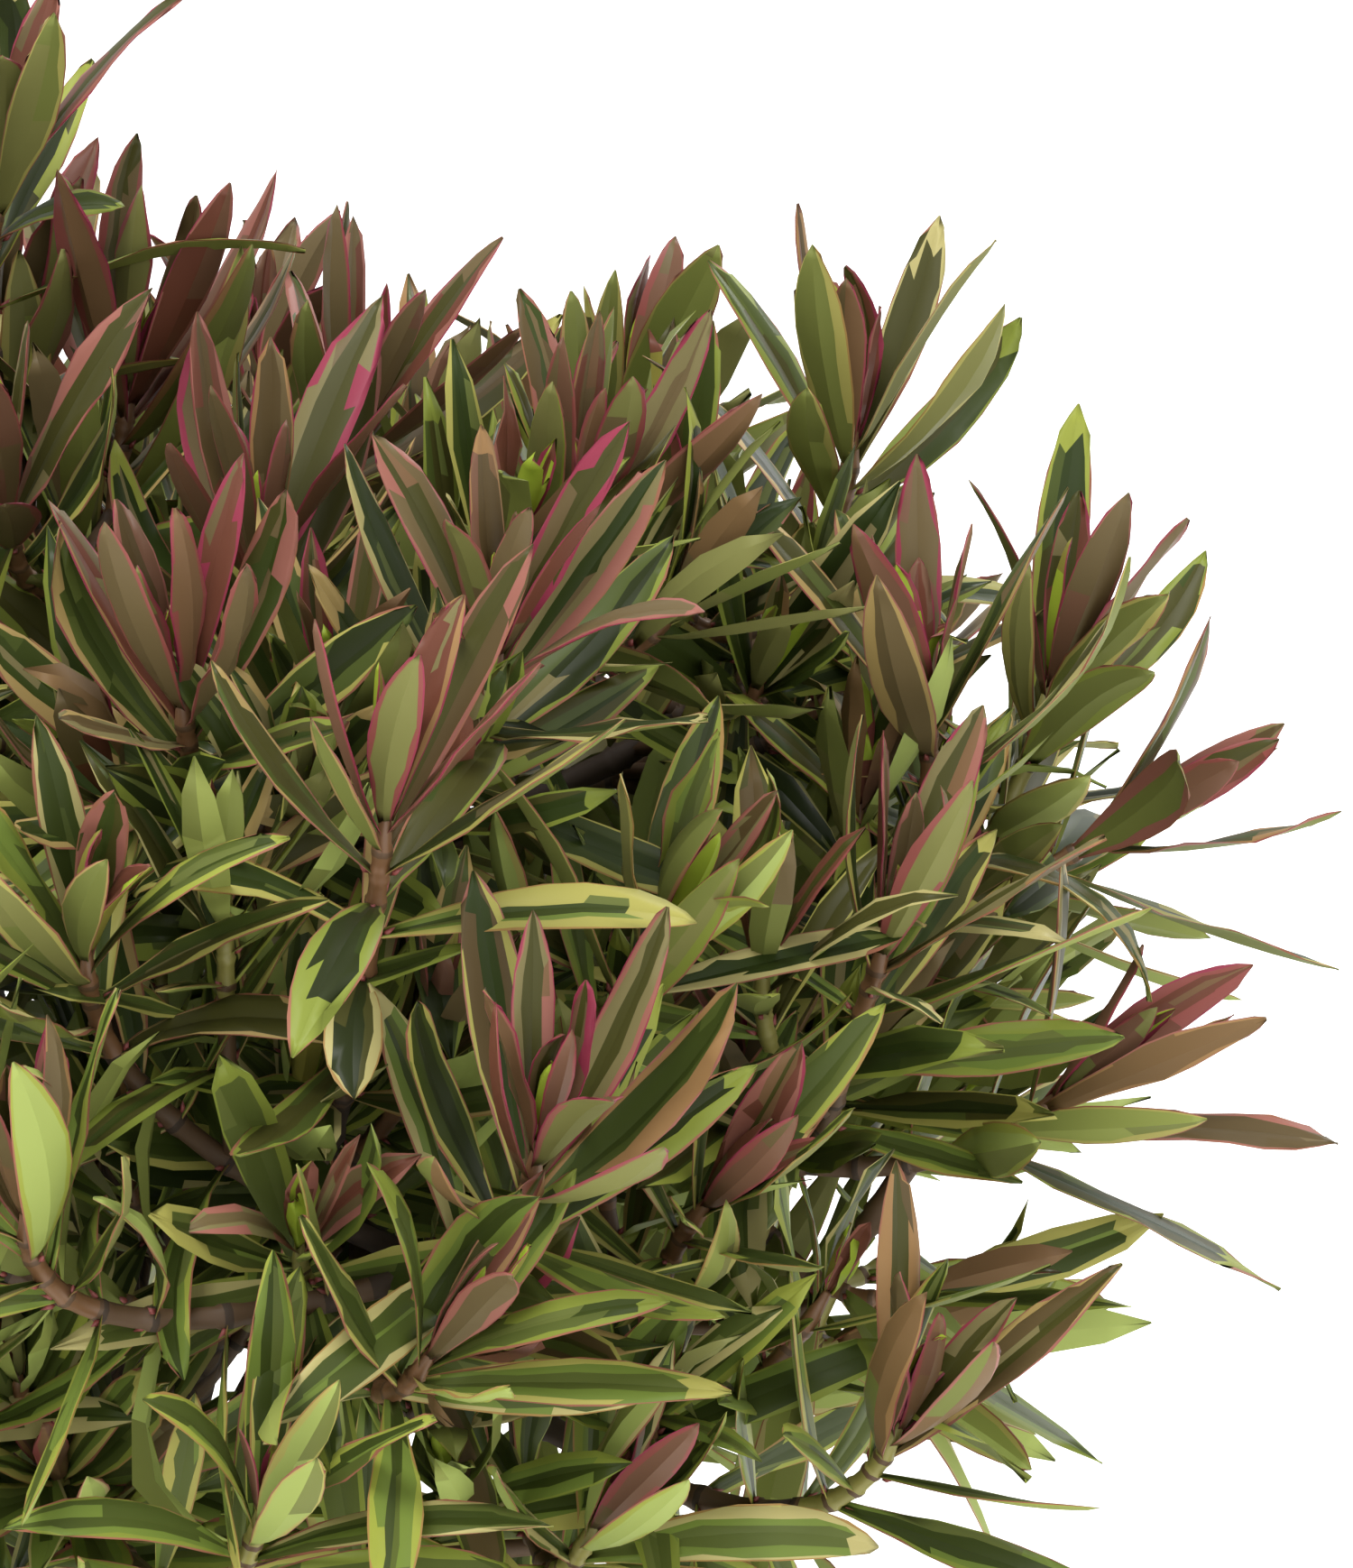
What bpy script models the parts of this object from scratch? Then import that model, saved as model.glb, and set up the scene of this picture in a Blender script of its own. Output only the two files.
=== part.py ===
"""A rounded, variegated hebe shrub, rooted in level ground.

Lengths are in metres and +Z is up. The origin is the middle of the flat cut under the main stem, at ground
level. A short main stem carries a leader and two whorls of boughs, and the leader carries a third whorl. Each
bough's tip carries one mass of foliage: a stem that forks into leafy shoots, with narrow leaves in crossed
pairs.
"""
import math
import random
from collections import namedtuple

import bmesh
import bpy
from mathutils import Matrix, Vector
from mathutils.bvhtree import BVHTree

# The crown's outline, to the tips of its outermost leaves
CROWN_RADIUS = 0.192
CROWN_TOP = 0.288
CROWN_FOOT = 0.006
HEART = Vector((0.004, 0.0, 0.105))  # the masses of foliage fan out from this point
SHOULDER_POWER = 2.4  # how square the crown is above the heart, where 2 is an ellipse
SKIRT_POWER = 1.65  # and below it
# Round its middle tuft the crown dips by this share, deepest at this angle from straight up, in degrees
SADDLE_DEPTH, SADDLE_ANGLE, SADDLE_WIDTH = 0.21, 19.0, 11.0

# The main stem
STEM_HEIGHT = 0.050
STEM_RADIUS = 0.0072
STEM_TOP_RADIUS = 0.0058
FLARE_RADIUS = 0.0112
FLARE_HEIGHT = 0.010
STEM_LEAN = Vector((0.0035, 0.0015))  # how far the stem's top stands off its foot
STEM_SIDES = 12

# The boughs
LEADER_RADIUS = 0.0040
BOUGH_RADIUS = 0.0029
BOUGH_TIP_RADIUS = 0.0022
BOUGH_SIDES = 6
BOUGH_RINGS = 5
BOUGH_SHARE = 0.38  # of the way from the heart to the crown's outline, where a bough ends
GAP = 0.0003  # between two solids that meet

# The masses of foliage: each ring's name, count, angle from straight up and first azimuth, in degrees
RINGS = (
    ("upper", 5, 41.0, 2.0),
    ("middle", 6, 74.0, -14.0),
    ("low", 6, 103.0, 16.0),
)
# The shoots that the photo shows: the angle from straight up and the azimuth at which each bud lies from the
# heart, in degrees, how far in from the outline it is, in millimetres, and its lean to the right, in degrees
SEEN_SHOOTS = (
    (44, -7, 40, -5),
    (60, -5, 35, 10),
    (57, -25, 45, -10),
    (69, -6, 35, 60),
    (69, -37, 50, 15),
    (81, -18, 45, 50),
    (53, -64, 50, 5),
    (38, -37, 58, 10),
    (55, -86, 55, -5),
    (65, -76, 35, 5),
    (78, -69, 35, 5),
    (88, -74, 40, 30),
    (80, -95, 40, 5),
    (97, -39, 40, 10),
    (31, -72, 53, 0),
    (17, -11, 24, 5),
    (23, -110, 32, -5),
    (5, 75, 44, 15),
    (12, 125, 18, 10),
    (96, -83, 35, 10),
    (102, -58, 45, 20),
    (41, -20, 65, -10),
    (8, 180, 14, 20),
)
SEEN_SPACING = 0.037  # the nearest that another shoot comes to one of them

# The other shoots are spread evenly
LOWEST_SHOOT = 117.0  # degrees from straight up
SHOOT_COUNT = 84
SHOOT_SCATTER = 0.06  # how far a shoot strays from its even place, in radians
SHOOT_INSET = 0.034  # from a shoot's bud out to the crown's outline
INSET_SCATTER = 0.007
UPRIGHT = 0.75  # how strongly a shoot turns upwards as it grows outwards

# The twigs, which are three-sided
TWIG_RADIUS = 0.0019
TWIG_TIP_RADIUS = 0.0010
TWIG_SIDES = 3
TWIG_RINGS = 4
FIRST_FORK, LAST_FORK = 0.12, 0.62  # where side twigs leave the mass's stem, as shares of its length

# The leaves, in crossed pairs below a shoot's bud: distance below it, angle from the shoot and length
LEAF_PAIRS = (
    (0.002, 13.0, 0.036),
    (0.008, 32.0, 0.049),
    (0.016, 50.0, 0.055),
    (0.027, 66.0, 0.056),
)
LEAF_SLENDERNESS = 4.1  # length over width
LEAF_THICKNESS = 0.0013
LEAF_STATIONS = ((0.30, 0.66), (0.66, 1.0))  # share of the length, share of the width
KEEL_PLACE = 0.46  # the share of the length where the leaf is thickest
ROOT_DEPTH = 0.0004  # how far a leaf's pointed root runs past its twig's middle line
LEAF_BEND = 16.0  # degrees that a leaf turns away from its shoot, from root to tip
PROBE_START = 0.45  # the share of its first stretch beside its twig, where a leaf may touch its neighbours
LEAF_CLEARANCE = 0.0006  # kept between a leaf and whatever it passes
# A leaf that has no room is tried again at another angle from its shoot, further round it, or shorter
TRIES = (
    (0.0, 0.0, 1.0),
    (-12.0, 0.0, 1.0),
    (6.0, 22.0, 0.95),
    (6.0, -22.0, 0.95),
    (-20.0, 12.0, 0.9),
    (-14.0, -16.0, 0.8),
    (4.0, 0.0, 0.7),
)
GROUND_CLEARANCE = 0.003

BARK_COLOUR = (0.085, 0.050, 0.028, 1.0)
BOUGH_COLOUR = (0.110, 0.060, 0.035, 1.0)
FOLIAGE_COLOUR = (0.085, 0.105, 0.040, 1.0)

Mass = namedtuple("Mass", "name ring direction")
Shoot = namedtuple("Shoot", "number mass bud heading roll")


def clear_scene():
    for thing in list(bpy.data.objects):
        bpy.data.objects.remove(thing, do_unlink=True)


def material(name, colour, roughness):
    made = bpy.data.materials.new(name)
    made.use_nodes = True
    surface = made.node_tree.nodes["Principled BSDF"]
    surface.inputs["Base Color"].default_value = colour
    surface.inputs["Roughness"].default_value = roughness
    surface.inputs["Metallic"].default_value = 0.0
    return made


def aimed(angle_from_up, azimuth):
    """The unit vector at these angles, in radians."""
    flat = math.sin(angle_from_up)
    return Vector((flat * math.cos(azimuth), flat * math.sin(azimuth), math.cos(angle_from_up)))


def crown_reach(direction):
    """How far the crown's outline is from the heart, that way."""
    across = math.hypot(direction.x, direction.y) / CROWN_RADIUS
    if direction.z >= 0:
        rise, power = direction.z / (CROWN_TOP - HEART.z), SHOULDER_POWER
    else:
        rise, power = -direction.z / (HEART.z - CROWN_FOOT), SKIRT_POWER
    from_up = math.degrees(math.acos(max(-1.0, min(1.0, direction.z))))
    dip = SADDLE_DEPTH * math.exp(-(((from_up - SADDLE_ANGLE) / SADDLE_WIDTH) ** 2))
    return (across**power + rise**power) ** (-1 / power) * (1 - dip)


def curve_point(start, middle, end, share):
    return start * (1 - share) ** 2 + middle * 2 * share * (1 - share) + end * share**2


def line_point(curve, rings, share):
    """A point on the straight runs between the ring centres of a limb that follows the curve."""
    place = min(share * (rings - 1), rings - 1.000001)
    first = int(place)
    low, high = (curve_point(*curve, step / (rings - 1)) for step in (first, first + 1))
    return low.lerp(high, place - first)


def curve_tangent(start, middle, end, share):
    return ((middle - start) * (1 - share) + (end - middle) * share).normalized()


def evenly(count):
    """Shares from 0 to 1."""
    return [step / (count - 1) for step in range(count)]


# Limbs

def limb_mesh(name, centres, radii, sides, facing=None):
    """A closed tapering tube of rings bridged together. Its ends are flat, the first one square to facing."""
    shape = bmesh.new()
    rings = []
    side = None
    for index, (centre, radius) in enumerate(zip(centres, radii)):
        before = centres[max(index - 1, 0)]
        after = centres[min(index + 1, len(centres) - 1)]
        tangent = (after - before).normalized()
        if facing and index == 0:
            tangent = facing
        side = (side or tangent.orthogonal()) - tangent * (side or tangent.orthogonal()).dot(tangent)
        side.normalize()
        frame = Matrix((side, tangent.cross(side), tangent)).transposed().to_4x4()
        frame.translation = centre
        is_end = index in (0, len(centres) - 1)
        made = bmesh.ops.create_circle(shape, cap_ends=is_end, segments=sides, radius=radius, matrix=frame)
        rings.append(made["verts"])
    for lower, upper in zip(rings, rings[1:]):
        edges = [edge for ring in (lower, upper) for edge in ring_edges(ring)]
        bmesh.ops.bridge_loops(shape, edges=edges)
    bmesh.ops.recalc_face_normals(shape, faces=shape.faces)
    bmesh.ops.triangulate(shape, faces=shape.faces)
    mesh = bpy.data.meshes.new(name)
    shape.to_mesh(mesh)
    shape.free()
    return mesh


def ring_edges(ring):
    inside = set(ring)
    return {edge for vertex in ring for edge in vertex.link_edges if inside.issuperset(edge.verts)}


def add_object(name, mesh, paint=None):
    made = bpy.data.objects.new(name, mesh)
    bpy.context.scene.collection.objects.link(made)
    if paint:
        mesh.materials.append(paint)
    return made


def tree_of(mesh):
    """The mesh as a search tree."""
    points = [vertex.co.copy() for vertex in mesh.vertices]
    return BVHTree.FromPolygons(points, [tuple(face.vertices) for face in mesh.polygons])


def modified(target, kind, **settings):
    """Adds one modifier to target and applies it."""
    change = target.modifiers.new(kind.title(), kind)
    for name, value in settings.items():
        setattr(change, name, value)
    bpy.context.view_layer.update()
    graph = bpy.context.evaluated_depsgraph_get()
    mesh = bpy.data.meshes.new_from_object(target.evaluated_get(graph))
    target.modifiers.clear()
    target.data = mesh


def stem_centre(height):
    """The main stem's middle line leans a little more as it rises."""
    share = height / STEM_HEIGHT
    return Vector((STEM_LEAN.x * share**1.5, STEM_LEAN.y * share**1.5, height))


def stem_radius(height):
    """Straight taper, with the root flare added near the ground."""
    share = height / STEM_HEIGHT
    taper = STEM_RADIUS + (STEM_TOP_RADIUS - STEM_RADIUS) * share
    flare = max(0.0, 1 - height / FLARE_HEIGHT) ** 2
    return taper + (FLARE_RADIUS - STEM_RADIUS) * flare


def main_stem_mesh(name, extra=0.0):
    """The main stem, or its clearance cutter, extra wider and longer."""
    heights = [0.0, 0.0025, 0.005, 0.010, 0.020, 0.035, STEM_HEIGHT]
    radii = [stem_radius(height) + extra for height in heights]
    centres = [stem_centre(height) for height in heights]
    centres[0].z -= extra
    centres[-1].z += extra
    return limb_mesh(name, centres, radii, STEM_SIDES, Vector((0, 0, 1)))


def bough_curve(start, mass):
    """The three points of a bough's curve, from its carrier's middle line to where its mass begins."""
    end = HEART + mass.direction * crown_reach(mass.direction) * BOUGH_SHARE
    arriving = (mass.direction + Vector((0, 0, 1.1))).normalized()
    return start, end - arriving * (end - start).length * 0.48, end


def bough_mesh(name, curve, base_radius, extra=0.0):
    shares = evenly(BOUGH_RINGS)
    centres = [curve_point(*curve, share) for share in shares]
    radii = [base_radius + (BOUGH_TIP_RADIUS - base_radius) * share + extra for share in shares]
    return limb_mesh(name, centres, radii, BOUGH_SIDES)


def add_bough(name, curve, base_radius, carrier_cutter, paint):
    """A bough that starts inside its carrier, cut back to a gap off its surface."""
    bough = add_object(name, bough_mesh(name, curve, base_radius), paint)
    modified(bough, "BOOLEAN", operation="DIFFERENCE", solver="EXACT", object=carrier_cutter)
    return bough


# Masses and shoots

def list_masses():
    """The top mass, then each ring's masses round the crown."""
    masses = [Mass("top_foliage", "top", Vector((0, 0, 1)))]
    for ring, count, from_up, first in RINGS:
        for index in range(count):
            azimuth = math.radians(first + 360.0 * index / count)
            direction = aimed(math.radians(from_up), azimuth)
            masses.append(Mass(f"{ring}_foliage_{index + 1}", ring, direction))
    return masses


def list_shoots(masses):
    """The seen shoots, then others spread by the golden angle, each given to the mass that it is nearest."""
    draw = random.Random(7)
    buds = []
    for from_up, azimuth, inset, lean in SEEN_SHOOTS:
        outward = aimed(math.radians(from_up), math.radians(azimuth))
        heading = Vector((math.sin(math.radians(lean)), outward.y * 0.6, math.cos(math.radians(lean))))
        buds.append((HEART + outward * (crown_reach(outward) - inset / 1000), heading.normalized()))
    seen = [bud for bud, _ in buds]
    golden = math.pi * (3 - math.sqrt(5))
    lowest = math.cos(math.radians(LOWEST_SHOOT))
    for index in range(SHOOT_COUNT):
        level = 1 - (index + 0.5) / SHOOT_COUNT * (1 - lowest)
        from_up = math.acos(level) + draw.uniform(-SHOOT_SCATTER, SHOOT_SCATTER)
        azimuth = index * golden + draw.uniform(-SHOOT_SCATTER, SHOOT_SCATTER)
        outward = aimed(abs(from_up), azimuth)
        inset = SHOOT_INSET - draw.uniform(-INSET_SCATTER, INSET_SCATTER)
        bud = HEART + outward * (crown_reach(outward) - inset)
        wander = Vector([draw.uniform(-0.22, 0.22) for _ in range(3)])
        if all((bud - other).length > SEEN_SPACING for other in seen):
            buds.append((bud, (outward + Vector((0, 0, UPRIGHT)) + wander).normalized()))
    shoots = []
    for bud, heading in buds:
        mass = max(masses, key=lambda each: each.direction.dot(bud - HEART))
        shoots.append(Shoot(len(shoots), mass.name, bud, heading, draw.uniform(0, math.pi)))
    return shoots


def own_space(mass, shoots):
    """For each of the mass's shoots, the planes between it and every shoot of the other masses."""
    spaces = []
    for shoot in shoots:
        if shoot.mass == mass.name:
            towards = (shoot.bud - HEART).normalized()
            others = [(other.bud - HEART).normalized() for other in shoots if other.mass != mass.name]
            spaces.append([(towards - other).normalized() for other in others])
    return spaces


def is_inside(points, spaces):
    """True if each point is above the ground and nearer to a shoot of the mass than to any other shoot."""
    for point in points:
        away = point - HEART
        if point.z < GROUND_CLEARANCE:
            return False
        if not any(all(away.dot(plane) > GAP for plane in planes) for planes in spaces):
            return False
    return True


def shoot_curve(start, shoot, straightness=0.5):
    return start, shoot.bud - shoot.heading * (shoot.bud - start).length * straightness, shoot.bud


def twig_mesh(name, curve, first_radius, facing=None):
    shares = evenly(TWIG_RINGS)
    centres = [curve_point(*curve, share) for share in shares]
    radii = [first_radius + (TWIG_TIP_RADIUS - first_radius) * share for share in shares]
    return limb_mesh(name, centres, radii, TWIG_SIDES, facing)


def leaf_points(root, along, facing, length, bend):
    """Root, left and right edge at each station, tip and keel. The leaf bends away from facing."""
    side = along.cross(facing).normalized()
    width = length / LEAF_SLENDERNESS
    centre, heading, face = root.copy(), along.copy(), facing.copy()
    points, reached = [root.copy()], 0.0
    for share, wide in LEAF_STATIONS + ((1.0, 0.0),):
        turn = Matrix.Rotation(-math.radians(bend) * (share - reached), 3, side)
        heading = turn @ heading
        face = turn @ face
        if reached < KEEL_PLACE < share:
            keel = centre + heading * (KEEL_PLACE - reached) * length - face * LEAF_THICKNESS
        centre = centre + heading * (share - reached) * length
        reached = share
        if wide:
            half = side * width * wide / 2
            points += [centre - half, centre + half]
    return points + [centre, keel]


def leaf_faces():
    """Triangles for the leaf's flat upper side, and from each of its edges to the keel."""
    rows = len(LEAF_STATIONS)
    tip, keel = rows * 2 + 1, rows * 2 + 2
    right = [0] + [2 + 2 * row for row in range(rows)] + [tip]
    left = [1 + 2 * row for row in range(rows)]
    faces = [(0, 2, 1), (tip - 1, tip, tip - 2)]
    for row in range(rows - 1):
        a, b = 1 + 2 * row, 2 + 2 * row
        faces += [(b, b + 2, a + 2), (b, a + 2, a)]
    outline = right + left[::-1]
    for here, after in zip(outline, outline[1:] + outline[:1]):
        faces.append((after, here, keel))
    return faces


def leaf_mesh(points):
    mesh = bpy.data.meshes.new("leaf")
    mesh.from_pydata(points, [], leaf_faces())
    return mesh


def leaf_probe(points):
    """The leaf as it has to stay clear: with its root moved up past its twig."""
    return [points[0].lerp((points[1] + points[2]) / 2, PROBE_START)] + points[1:]


def hits(points, faces, trees):
    """True if the leaf touches one of the trees, or passes it closer than the clearance."""
    probe = BVHTree.FromPolygons(points, faces, epsilon=LEAF_CLEARANCE)
    return any(probe.overlap(tree) for tree in trees)


def grow_leaves(curve, shoot, spaces, trees, draw):
    """The points of each leaf of one shoot that fits. Each is added to trees, so that later ones miss it."""
    faces = leaf_faces()
    shoot_length = (curve[2] - curve[0]).length
    grown = []
    for order, (below, angle, length) in enumerate(LEAF_PAIRS):
        share = max(0.05, 1 - below / shoot_length)
        root = line_point(curve, TWIG_RINGS, share)
        tangent = curve_tangent(*curve, share)
        first_side = tangent.orthogonal().normalized()
        for half in (0, 1):
            around = shoot.roll + order * math.pi / 2 + half * math.pi
            own_angle = angle + draw.uniform(-6, 6)
            own_length = length * draw.uniform(0.90, 1.06)
            own_bend = LEAF_BEND * draw.uniform(0.3, 1.7)
            for turn, swing, shorter in TRIES:
                outward = Matrix.Rotation(around + math.radians(swing), 3, tangent) @ first_side
                lean = math.radians(max(8.0, own_angle + turn))
                along = tangent * math.cos(lean) + outward * math.sin(lean)
                facing = tangent * math.sin(lean) - outward * math.cos(lean)
                points = leaf_points(root - along * ROOT_DEPTH, along, facing, own_length * shorter, own_bend)
                probe = leaf_probe(points)
                if is_inside(probe, spaces) and not hits(probe, faces, trees):
                    grown.append(points)
                    trees.append(BVHTree.FromPolygons(probe, faces))
                    break
    return grown


def grow_twigs(mass, bough, shoots, spaces, limb_trees):
    """The mass's stem, from the bough's tip to its middle shoot, and the twigs that fork off to the others.

    Gives each one's mesh, curve and shoot.
    """
    own = [shoot for shoot in shoots if shoot.mass == mass.name]
    own.sort(key=lambda shoot: -(shoot.bud - HEART).normalized().dot(mass.direction))
    facing = (bough[2] - line_point(bough, BOUGH_RINGS, 1 - 0.5 / BOUGH_RINGS)).normalized()
    start = bough[2] + facing * GAP
    stem_curve = start, start + facing * (own[0].bud - start).length * 0.5, own[0].bud
    grown = [(twig_mesh(mass.name, stem_curve, TWIG_RADIUS, facing), stem_curve, own[0])]
    for order, shoot in enumerate(own[1:]):
        share = FIRST_FORK + (LAST_FORK - FIRST_FORK) * order / max(1, len(own) - 2)
        curve = shoot_curve(line_point(stem_curve, TWIG_RINGS, share), shoot)
        middle_line = [curve_point(*curve, step) for step in evenly(TWIG_RINGS)]
        twig = twig_mesh("twig", curve, TWIG_RADIUS * 0.85)
        if is_inside(middle_line, spaces) and not any(tree_of(twig).overlap(tree) for tree in limb_trees):
            grown.append((twig, curve, shoot))
    return grown


def fuse(stem, pieces):
    """One union of the stem with all that grows on it."""
    together = bpy.data.collections.new("growth")
    bpy.context.scene.collection.children.link(together)
    for mesh in pieces:
        together.objects.link(bpy.data.objects.new("growth", mesh))
    modified(
        stem,
        "BOOLEAN",
        operation="UNION",
        operand_type="COLLECTION",
        collection=together,
        solver="EXACT",
    )
    for grown in list(together.objects):
        bpy.data.objects.remove(grown, do_unlink=True)
    bpy.data.collections.remove(together)
    keep_largest(stem.data)


def keep_largest(mesh):
    """Drops loose scraps and the walls of sealed hollows, which fills them."""
    shape = bmesh.new()
    shape.from_mesh(mesh)
    unseen = set(shape.verts)
    bodies = []
    while unseen:
        body, edge_of_body = set(), [unseen.pop()]
        while edge_of_body:
            vertex = edge_of_body.pop()
            body.add(vertex)
            near = {edge.other_vert(vertex) for edge in vertex.link_edges} & unseen
            unseen -= near
            edge_of_body += near
        bodies.append(body)
    bodies.sort(key=len)
    scraps = [vertex for body in bodies[:-1] for vertex in body]
    bmesh.ops.delete(shape, geom=scraps, context="VERTS")
    shape.to_mesh(mesh)
    shape.free()


def main():
    clear_scene()
    bark = material("bark", BARK_COLOUR, 0.85)
    young_bark = material("young_bark", BOUGH_COLOUR, 0.70)
    foliage = material("variegated_foliage", FOLIAGE_COLOUR, 0.45)
    masses = list_masses()
    shoots = list_shoots(masses)

    main_stem = add_object("main_stem", main_stem_mesh("main_stem"), bark)
    stem_cutter = add_object("stem_cutter", main_stem_mesh("stem_cutter", GAP))

    leader_curve = bough_curve(stem_centre(STEM_HEIGHT - LEADER_RADIUS), masses[0])
    leader = add_bough("leader", leader_curve, LEADER_RADIUS, stem_cutter, young_bark)
    leader_cutter = add_object("leader_cutter", bough_mesh("leader_cutter", leader_curve, LEADER_RADIUS, GAP))
    limbs = [main_stem, leader]
    bough_curves = {masses[0].name: leader_curve}
    counted = {ring: count for ring, count, _, _ in RINGS}
    for mass in masses[1:]:
        number = int(mass.name.rsplit("_", 1)[1])
        stagger = (number * 2 % counted[mass.ring]) / counted[mass.ring]
        if mass.ring == "upper":
            start = line_point(leader_curve, BOUGH_RINGS, 0.06 + 0.30 * stagger)
            cutter = leader_cutter
        else:
            lowest = {"low": 0.013, "middle": 0.030}[mass.ring]
            start = stem_centre(lowest + 0.011 * stagger)
            cutter = stem_cutter
        name = mass.name.replace("foliage", "bough")
        bough_curves[mass.name] = bough_curve(start, mass)
        limbs.append(add_bough(name, bough_curves[mass.name], BOUGH_RADIUS, cutter, young_bark))
    for cutter in (stem_cutter, leader_cutter):
        cutter.hide_render = True
        cutter.display_type = "WIRE"

    limb_trees = [tree_of(limb.data) for limb in limbs]
    spaces = {mass.name: own_space(mass, shoots) for mass in masses}
    twigs = {}
    for mass in masses:
        twigs[mass.name] = grow_twigs(mass, bough_curves[mass.name], shoots, spaces[mass.name], limb_trees)
    twig_trees = {shoot.number: tree_of(mesh) for grown in twigs.values() for mesh, _, shoot in grown}
    leaf_trees = []
    for mass in masses:
        draw = random.Random(mass.name)
        leaves = []
        for _, curve, shoot in twigs[mass.name]:
            trees = limb_trees + leaf_trees
            trees += [tree for other, tree in twig_trees.items() if other != shoot.number]
            known = len(trees)
            leaves += grow_leaves(curve, shoot, spaces[mass.name], trees, draw)
            leaf_trees += trees[known:]
        stem = add_object(mass.name, twigs[mass.name][0][0], foliage)
        fuse(stem, [mesh for mesh, _, _ in twigs[mass.name][1:]] + [leaf_mesh(points) for points in leaves])
        print(mass.name, len(leaves), "leaves", len(stem.data.polygons), "faces")


main()
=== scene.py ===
import math
import random

import bpy
import numpy as np
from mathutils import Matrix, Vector


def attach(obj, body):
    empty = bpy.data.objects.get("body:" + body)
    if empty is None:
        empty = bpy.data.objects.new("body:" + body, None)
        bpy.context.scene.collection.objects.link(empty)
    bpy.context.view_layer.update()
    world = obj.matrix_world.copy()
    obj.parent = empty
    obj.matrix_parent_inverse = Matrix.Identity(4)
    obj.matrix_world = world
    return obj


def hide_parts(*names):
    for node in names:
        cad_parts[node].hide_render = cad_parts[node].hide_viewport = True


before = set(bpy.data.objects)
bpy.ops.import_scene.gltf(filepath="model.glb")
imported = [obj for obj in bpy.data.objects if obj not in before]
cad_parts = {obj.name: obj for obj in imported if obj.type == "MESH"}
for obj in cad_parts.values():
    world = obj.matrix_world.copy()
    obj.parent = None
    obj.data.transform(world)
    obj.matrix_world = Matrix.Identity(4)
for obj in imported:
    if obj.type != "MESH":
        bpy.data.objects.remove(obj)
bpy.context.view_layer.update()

bpy.ops.object.select_all(action="DESELECT")
print("frame loaded:", len(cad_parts), "nodes")


# Camera, light and floor

view = {
    "place": (0.0, -1.20, 0.31),
    "target": (0.089, 0.0, 0.169),
    "lens": 182.5,
}

studio = {
    "sky": (1.0, 1.0, 1.0),
    "skyStrength": 1.0,
    "floorSize": 120.0,
    "floorColour": (246, 246, 244),
    "floorGlow": 0.35,
    "sunFrom": (-0.55, -0.75, 1.6),
    "sunStrength": 3.0,
    "sunAngle": 32,
    "rimPlace": (1.4, 1.3, 1.6),
    "rimWatts": 20.0,
    "fillPlace": (0.5, -1.9, 0.45),
    "fillWatts": 7.0,
    "lampSize": 1.0,
    "lampTarget": (0, 0, 0.15),
}


def linear(colour):
    return [((c / 255 + 0.055) / 1.055) ** 2.4 if c > 10 else c / 255 / 12.92 for c in colour]


def aimAt(thing, target):
    thing.rotation_euler = (Vector(target) - thing.location).to_track_quat("-Z", "Y").to_euler()


def addCamera():
    bpy.ops.object.camera_add(location=view["place"])
    camera = bpy.context.object
    camera.name = "photoCamera"
    camera.data.lens = view["lens"]
    aimAt(camera, view["target"])
    bpy.context.scene.camera = camera


def addStudio():
    world = bpy.data.worlds.new("studioSky")
    world.use_nodes = True
    background = world.node_tree.nodes["Background"]
    background.inputs["Color"].default_value = (*studio["sky"], 1)
    background.inputs["Strength"].default_value = studio["skyStrength"]
    bpy.context.scene.world = world
    bpy.context.scene.view_settings.view_transform = "Standard"
    bpy.ops.object.light_add(type="SUN", location=studio["sunFrom"])
    sun = bpy.context.object
    sun.name = "softSun"
    sun.data.energy = studio["sunStrength"]
    sun.data.angle = math.radians(studio["sunAngle"])
    aimAt(sun, (0, 0, 0))
    for part in ("rim", "fill"):
        bpy.ops.object.light_add(type="AREA", location=studio[part + "Place"])
        lamp = bpy.context.object
        lamp.name = part + "Lamp"
        lamp.data.shape = "DISK"
        lamp.data.size = studio["lampSize"]
        lamp.data.energy = studio[part + "Watts"]
        aimAt(lamp, studio["lampTarget"])
    bpy.ops.mesh.primitive_plane_add(size=studio["floorSize"])
    floor = bpy.context.object
    floor.name = "studioFloor"
    white = paint("floorWhite", studio["floorColour"], 0.9, 0.1)
    surface = white.node_tree.nodes["Principled BSDF"]
    surface.inputs["Emission Color"].default_value = (1, 1, 1, 1)
    surface.inputs["Emission Strength"].default_value = studio["floorGlow"]
    floor.data.materials.append(white)


def paint(name, colour, roughness, specular=0.5):
    made = bpy.data.materials.new(name)
    made.use_nodes = True
    surface = made.node_tree.nodes["Principled BSDF"]
    surface.inputs["Base Color"].default_value = (*linear(colour), 1)
    surface.inputs["Roughness"].default_value = roughness
    surface.inputs["Specular IOR Level"].default_value = specular
    return made


# The crown's shape and the rule by which it grows, as in the frame

crown = {
    "radius": 0.192,
    "top": 0.288,
    "foot": 0.006,
    "heart": Vector((0.004, 0.0, 0.105)),
    "shoulderPower": 2.4,
    "skirtPower": 1.65,
    "dip": 0.21,  # round the middle tuft, deepest at this angle from straight up
    "dipAngle": 19.0,
    "dipWidth": 11.0,
}

stem = {
    "height": 0.050,
    "radius": 0.0072,
    "topRadius": 0.0058,
    "flareRadius": 0.0112,
    "flareHeight": 0.010,
    "lean": (0.0035, 0.0015),
}

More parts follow.
